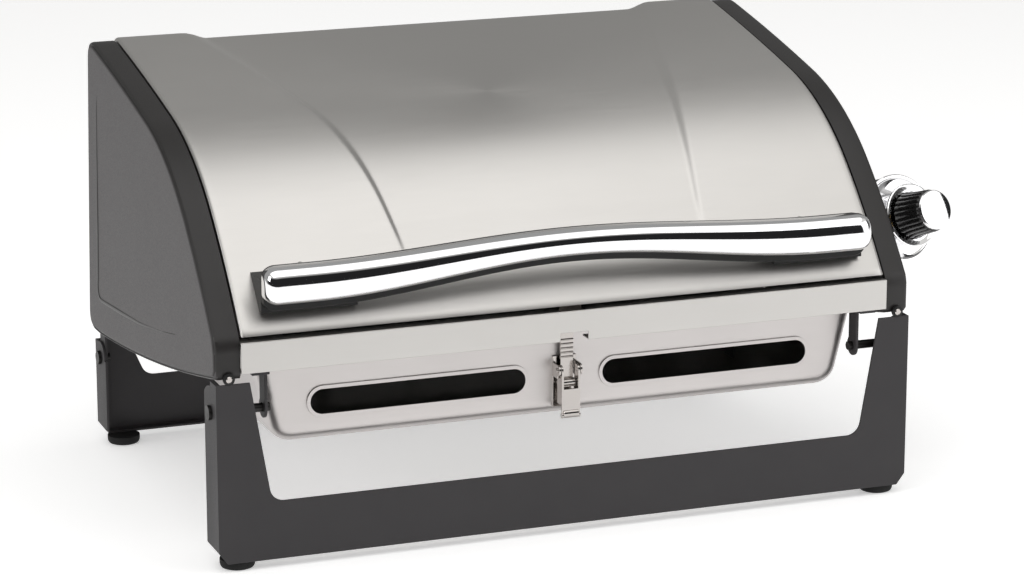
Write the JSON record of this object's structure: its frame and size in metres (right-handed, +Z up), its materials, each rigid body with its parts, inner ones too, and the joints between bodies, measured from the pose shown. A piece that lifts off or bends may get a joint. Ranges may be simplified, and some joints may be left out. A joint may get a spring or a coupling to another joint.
{
  "type": "portable tabletop gas grill",
  "caption": "Portable tabletop gas grill: curved steel hood between dark end panels, arched chrome handle, slotted firebox with draw latch, folding leg frames and side control knob.",
  "frame": {"origin": "on the table, under the middle of the whole grill's outline with its side knob", "axes": "+X to the right along the front, +Y from the front to the back, +Z up"},
  "size_m": [0.5684, 0.351, 0.3022],
  "materials": {
    "hood_steel": "fine brushed",
    "firebox_steel": "satin brushed",
    "panel_coat": "satin charcoal coat",
    "leg_coat": "fine matte charcoal coat",
    "handle_chrome": "mirror plated",
    "knob_chrome": "mirror plated",
    "latch_nickel": "bright nickel plated",
    "black_plastic": "moulded",
    "grip_plastic": "moulded, glossy",
    "foot_rubber": "moulded",
    "zinc_steel": "zinc plated",
    "aluminised_steel": "mill finish",
    "grate_iron": "porcelain coated",
    "brass": "machined",
    "regulator_zinc": "die cast",
    "ceramic": "glazed ceramic"
  },
  "bodies": {
    "body": {"end_panel_left": "panel_coat", "end_panel_right": "panel_coat", "front_rail": "hood_steel", "rear_panel": "hood_steel", "firebox_ledges": "zinc_steel", "tie_bars": "zinc_steel", "firebox": "firebox_steel", "burner": "aluminised_steel", "mixer_tube": "aluminised_steel", "burner_brackets": "aluminised_steel", "heat_plate": "aluminised_steel", "cooking_grate": "grate_iron", "igniter_electrode": "ceramic", "igniter_bracket": "zinc_steel", "hinge_leaves_base": "zinc_steel", "hinge_pins": "zinc_steel", "latch_base": "latch_nickel", "leg_hangers_front": "leg_coat", "leg_hangers_rear": "leg_coat", "leg_pins_front": "zinc_steel", "leg_pins_rear": "zinc_steel", "tray_runners": "zinc_steel", "control_pod": "black_plastic", "regulator": "regulator_zinc", "gas_jet": "brass", "bezel": "knob_chrome", "panel_screws": "latch_nickel"},
    "hood": {"hood_skin": "hood_steel", "hood_end_left": "hood_steel", "hood_end_right": "hood_steel", "hinge_leaves_hood": "zinc_steel", "handle_bar": "handle_chrome", "handle_backing": "black_plastic", "handle_mounts": "black_plastic", "handle_screws": "zinc_steel", "latch_keeper": "latch_nickel"},
    "latch_lever": {"latch_lever": "latch_nickel"},
    "latch_hook": {"latch_hook": "latch_nickel"},
    "front_legs": {"front_leg_frame": "leg_coat", "front_feet": "foot_rubber"},
    "rear_legs": {"rear_leg_frame": "leg_coat", "rear_feet": "foot_rubber"},
    "knob": {"knob_skirt": "knob_chrome", "knob_grip": "grip_plastic", "knob_cap": "knob_chrome", "valve_stem": "brass"},
    "grease_tray": {"grease_tray": "aluminised_steel"}
  },
  "joints": [
    {"name": "hood_hinge", "type": "hinge", "parent": "body", "child": "hood", "pos_m": [-0.03193, 0.17154, 0.16041], "axis": [-1, 0, 0], "range_deg": [0, 100]},
    {"name": "latch_lever_hinge", "type": "hinge", "parent": "body", "child": "latch_lever", "pos_m": [-0.03193, -0.15454, 0.112], "axis": [-1, 0, 0], "range_deg": [0, 80]},
    {"name": "latch_hook_hinge", "type": "hinge", "parent": "latch_lever", "child": "latch_hook", "pos_m": [-0.03193, -0.15195, 0.10234], "axis": [-1, 0, 0], "range_deg": [-60, 0]},
    {"name": "front_legs_fold", "type": "hinge", "parent": "body", "child": "front_legs", "pos_m": [-0.03193, -0.15054, 0.107], "axis": [1, 0, 0], "range_deg": [0, 68]},
    {"name": "rear_legs_fold", "type": "hinge", "parent": "body", "child": "rear_legs", "pos_m": [-0.03193, 0.14746, 0.066], "axis": [-1, 0, 0], "range_deg": [0, 90]},
    {"name": "knob_turn", "type": "hinge", "parent": "body", "child": "knob", "pos_m": [0.25307, -0.07954, 0.176], "axis": [0.2273, -0.9118, 0.342], "range_deg": [0, 200]},
    {"name": "tray_slide", "type": "slide", "parent": "body", "child": "grease_tray", "axis": [1, 0, 0], "range_m": [0, 0.19]}
  ],
  "couplings": [
    {"joint": "latch_hook_hinge", "follows": "latch_lever_hinge", "ratio": -0.75}
  ]
}
